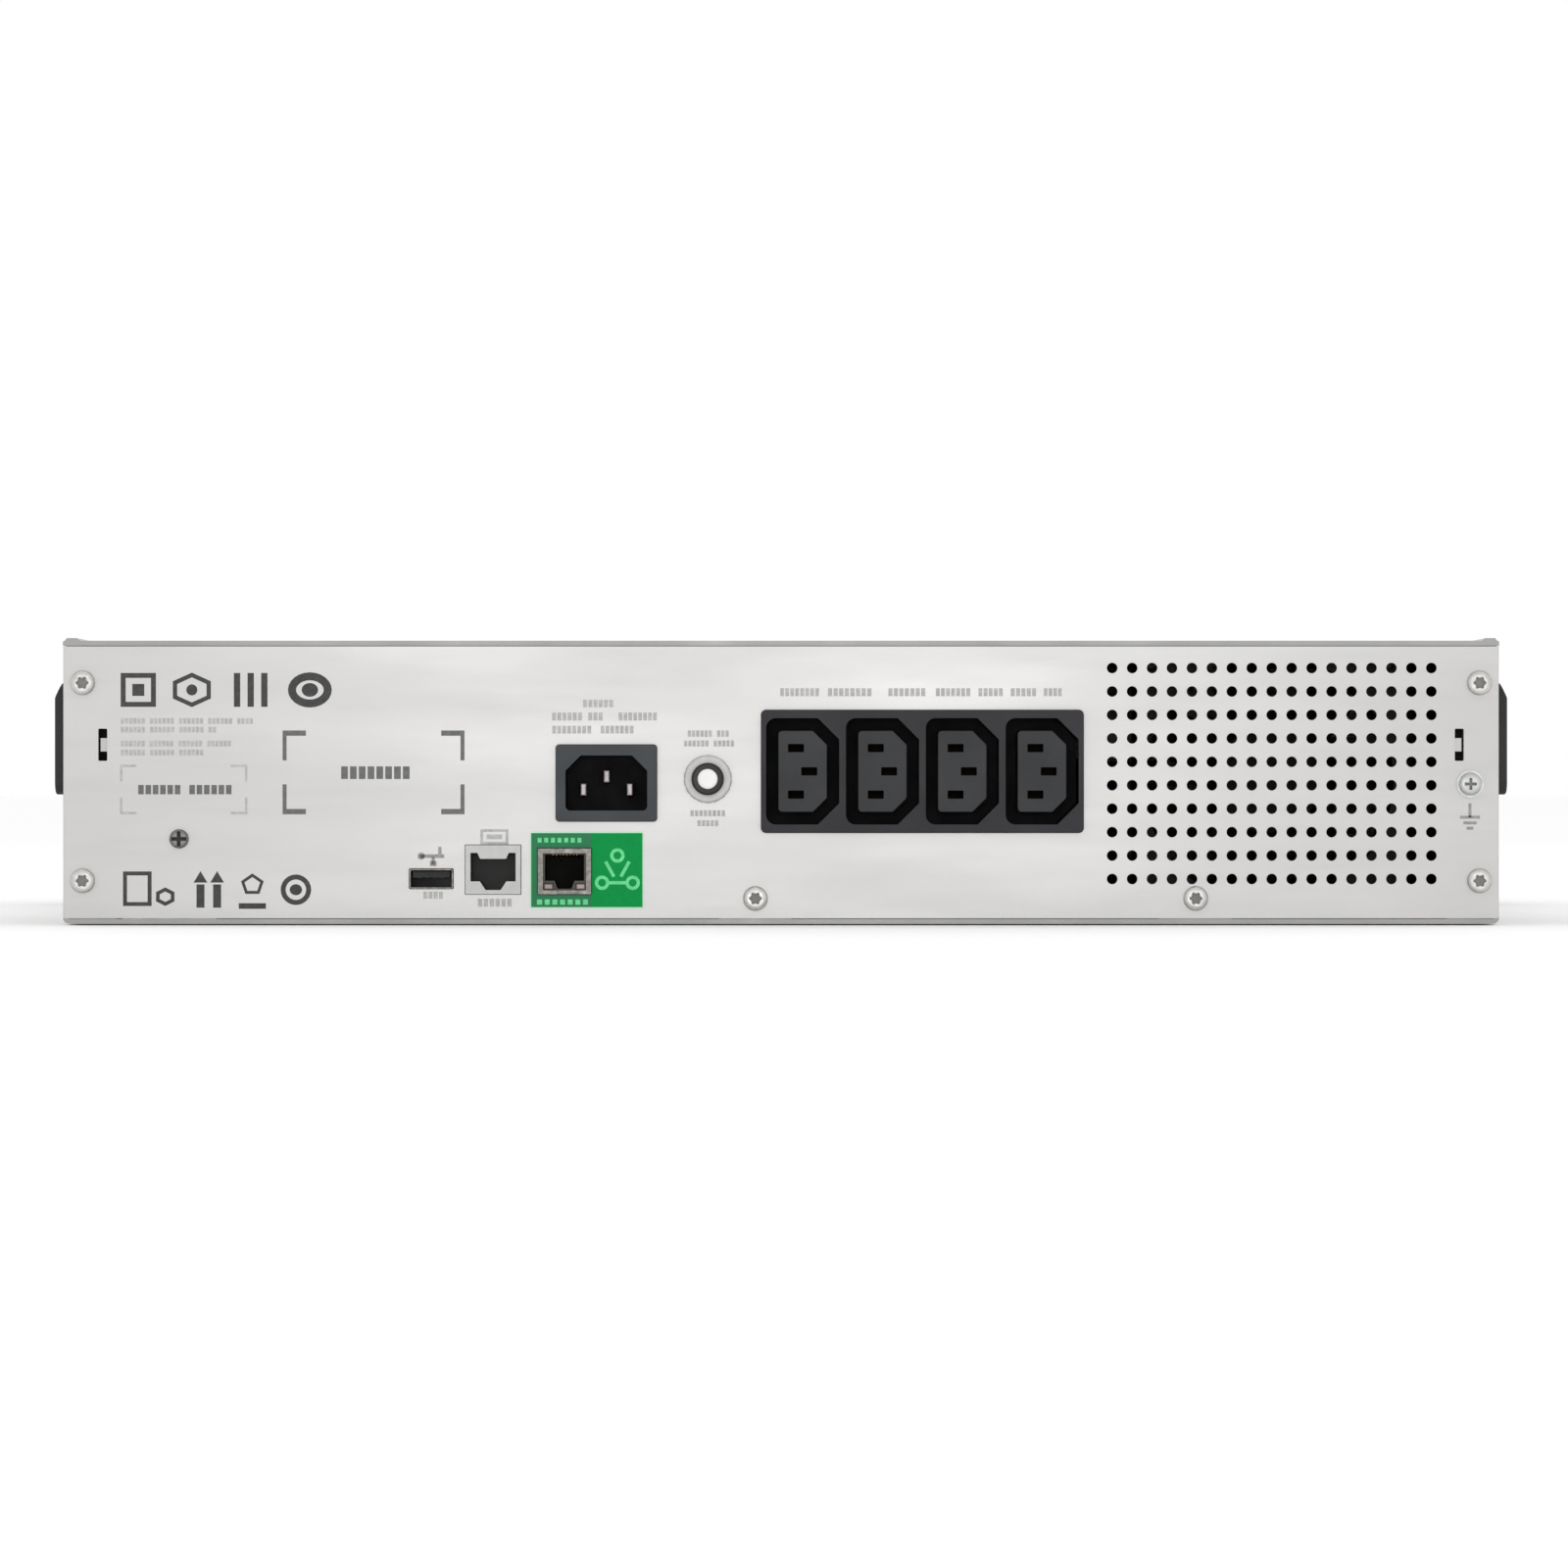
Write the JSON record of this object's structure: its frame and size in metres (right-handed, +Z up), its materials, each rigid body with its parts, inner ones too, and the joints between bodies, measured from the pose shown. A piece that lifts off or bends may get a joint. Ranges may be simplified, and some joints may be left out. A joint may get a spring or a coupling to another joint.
{
  "type": "rackmount uninterruptible power supply",
  "caption": "Low rack-width power supply box with mains inlet, breaker, outlet block, data ports and cooling holes at the rear, and a slide-out battery tray behind the bezel.",
  "frame": {"origin": "bottom centre of the whole unit, on the surface that it stands on", "axes": "+X to the right seen from behind, -Y towards the rear panel with the sockets, +Y towards the bezel, +Z up"},
  "size_m": [0.4826, 0.4136, 0.086],
  "materials": {
    "enclosure_paint": "satin",
    "cover_paint": "satin",
    "black_paint": "satin",
    "zinc_steel": "satin",
    "bright_steel": "polished",
    "nickel": "satin",
    "inlet_plastic": "satin",
    "outlet_plastic": "matte",
    "core_plastic": "matte",
    "grip_plastic": "matte",
    "bezel_plastic": "matte",
    "breaker_plastic": "gloss",
    "button_white": "gloss",
    "jack_plastic": "satin",
    "jack_black": "satin",
    "label_green": "matte",
    "contact_metal": "satin",
    "gold_contact": "polished",
    "board_green": "satin",
    "aluminium_fin": "satin",
    "capacitor_sleeve": "gloss",
    "relay_case": "gloss",
    "choke_winding": "gloss",
    "core_steel": "matte",
    "winding_tape": "matte",
    "fan_plastic": "satin",
    "battery_case": "satin",
    "connector_grey": "satin",
    "display_plastic": "satin",
    "lens": "gloss",
    "key_plastic": "satin"
  },
  "bodies": {
    "enclosure": {"chassis_base": "enclosure_paint", "top_cover": "cover_paint", "cover_screws": "zinc_steel", "rear_panel": "enclosure_paint", "rear_panel_screws": "nickel", "ground_screw": "nickel", "left_side_grip": "grip_plastic", "right_side_grip": "grip_plastic", "left_rack_ear": "black_paint", "right_rack_ear": "black_paint", "ear_screws": "zinc_steel", "mains_inlet": "inlet_plastic", "inlet_pins": "nickel", "breaker_body": "breaker_plastic", "breaker_nut": "nickel", "outlet_block": "outlet_plastic", "outlet_cores": "core_plastic", "outlet_contacts": "contact_metal", "usb_shell": "bright_steel", "usb_tongue": "jack_black", "serial_jack": "jack_plastic", "network_jack": "bright_steel", "network_jack_insert": "jack_black", "jack_contacts": "gold_contact", "network_label": "label_green", "comms_board": "board_green", "main_board": "board_green", "board_standoffs": "contact_metal", "inner_screws": "zinc_steel", "heat_sinks": "aluminium_fin", "bulk_capacitors": "capacitor_sleeve", "relays": "relay_case", "filter_choke": "choke_winding", "transformer_core": "core_steel", "transformer_winding": "winding_tape", "transformer_clamp": "zinc_steel", "transformer_bolts": "zinc_steel", "fan_frame": "fan_plastic", "fan_bracket": "black_paint", "bay_wall": "zinc_steel", "battery_socket": "connector_grey", "display_housing": "display_plastic", "display_window": "lens", "display_board": "board_green"},
    "breaker_plunger": {"breaker_button": "button_white"},
    "fan_wheel": {"fan_rotor": "fan_plastic"},
    "tray": {"battery_tray": "zinc_steel", "rear_battery": "battery_case", "front_battery": "battery_case", "battery_plug": "connector_grey", "battery_pull": "grip_plastic"},
    "left_tray_screw": {"left_thumbscrew": "nickel"},
    "right_tray_screw": {"right_thumbscrew": "nickel"},
    "bezel": {"front_bezel": "bezel_plastic"},
    "power_key": {"power_button": "key_plastic"},
    "escape_key": {"escape_button": "key_plastic"},
    "up_key": {"up_button": "key_plastic"},
    "enter_key": {"enter_button": "key_plastic"},
    "down_key": {"down_button": "key_plastic"}
  },
  "joints": [
    {"name": "breaker_pop", "type": "slide", "parent": "enclosure", "child": "breaker_plunger", "axis": [0, -1, 0], "range_m": [0, 0.004]},
    {"name": "fan_spin", "type": "hinge", "parent": "enclosure", "child": "fan_wheel", "pos_m": [0.1476, -0.17125, 0.0433], "axis": [0, -1, 0], "continuous": true},
    {"name": "battery_slide", "type": "slide", "parent": "enclosure", "child": "tray", "axis": [0, 1, 0], "range_m": [0, 0.215]},
    {"name": "bezel_pull", "type": "slide", "parent": "enclosure", "child": "bezel", "axis": [0, 1, 0], "range_m": [0, 0.27]},
    {"name": "left_thumbscrew_turn", "type": "hinge", "parent": "tray", "child": "left_tray_screw", "pos_m": [-0.208, 0.18575, 0.047], "axis": [0, 1, 0], "continuous": true},
    {"name": "right_thumbscrew_turn", "type": "hinge", "parent": "tray", "child": "right_tray_screw", "pos_m": [-0.034, 0.18575, 0.047], "axis": [0, 1, 0], "continuous": true},
    {"name": "power_press", "type": "slide", "parent": "enclosure", "child": "power_key", "axis": [0, -1, 0], "range_m": [0, 0.001], "stiffness_N_per_m": 600, "springref_m": -0.0008},
    {"name": "escape_press", "type": "slide", "parent": "enclosure", "child": "escape_key", "axis": [0, -1, 0], "range_m": [0, 0.001], "stiffness_N_per_m": 500, "springref_m": -0.0008},
    {"name": "up_press", "type": "slide", "parent": "enclosure", "child": "up_key", "axis": [0, -1, 0], "range_m": [0, 0.001], "stiffness_N_per_m": 500, "springref_m": -0.0008},
    {"name": "enter_press", "type": "slide", "parent": "enclosure", "child": "enter_key", "axis": [0, -1, 0], "range_m": [0, 0.001], "stiffness_N_per_m": 500, "springref_m": -0.0008},
    {"name": "down_press", "type": "slide", "parent": "enclosure", "child": "down_key", "axis": [0, -1, 0], "range_m": [0, 0.001], "stiffness_N_per_m": 500, "springref_m": -0.0008}
  ],
  "couplings": [
    {"joint": "bezel_pull", "follows": "battery_slide", "ratio": 1.25}
  ]
}
